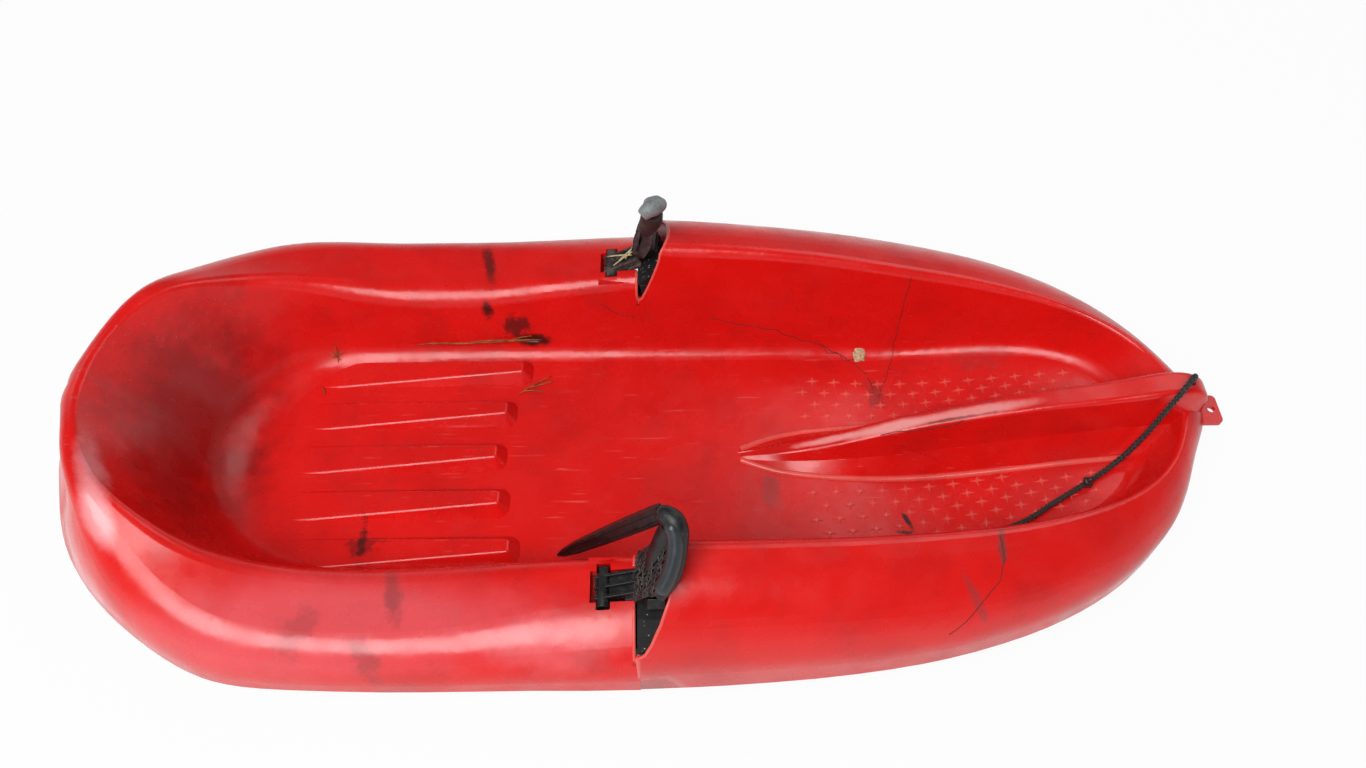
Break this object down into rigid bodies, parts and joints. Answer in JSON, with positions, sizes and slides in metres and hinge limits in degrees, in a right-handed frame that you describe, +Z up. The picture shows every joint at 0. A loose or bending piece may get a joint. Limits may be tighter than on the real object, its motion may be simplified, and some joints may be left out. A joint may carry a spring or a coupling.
{
  "type": "plastic sled",
  "caption": "Moulded plastic snow sled: bucket seat with a high back, ribbed seat floor, hump between the foot wells, hinged brake levers at the sides, tow rope through the nose.",
  "frame": {"origin": "on the ground under the middle of the sled", "axes": "+X points forward to the nose, +Y to the rider's left, +Z up"},
  "size_m": [1.191, 0.5302, 0.2169],
  "materials": {
    "tub": "glossy moulded polyethylene, scuffed in the seat and faded to pink on one side skirt",
    "lever": "dusty black moulded plastic with a smooth grey grip",
    "rope": "braided cord"
  },
  "bodies": {
    "sled": {"tub_shell": "tub", "tow_rope": "rope", "rope_hank": "rope", "hank_tie": "rope", "rope_knot": "rope", "stopper_knot": "rope"},
    "right_lever": {"brake_lever_right": "lever"},
    "left_lever": {"brake_lever_left": "lever"}
  },
  "joints": [
    {"name": "right_lever_pivot", "type": "hinge", "parent": "sled", "child": "right_lever", "pos_m": [-0.03, -0.195, 0.1], "axis": [0, -1, 0], "range_deg": [0, 30]},
    {"name": "left_lever_pivot", "type": "hinge", "parent": "sled", "child": "left_lever", "pos_m": [-0.03, 0.195, 0.1], "axis": [0, -1, 0], "range_deg": [-9, 21]}
  ]
}
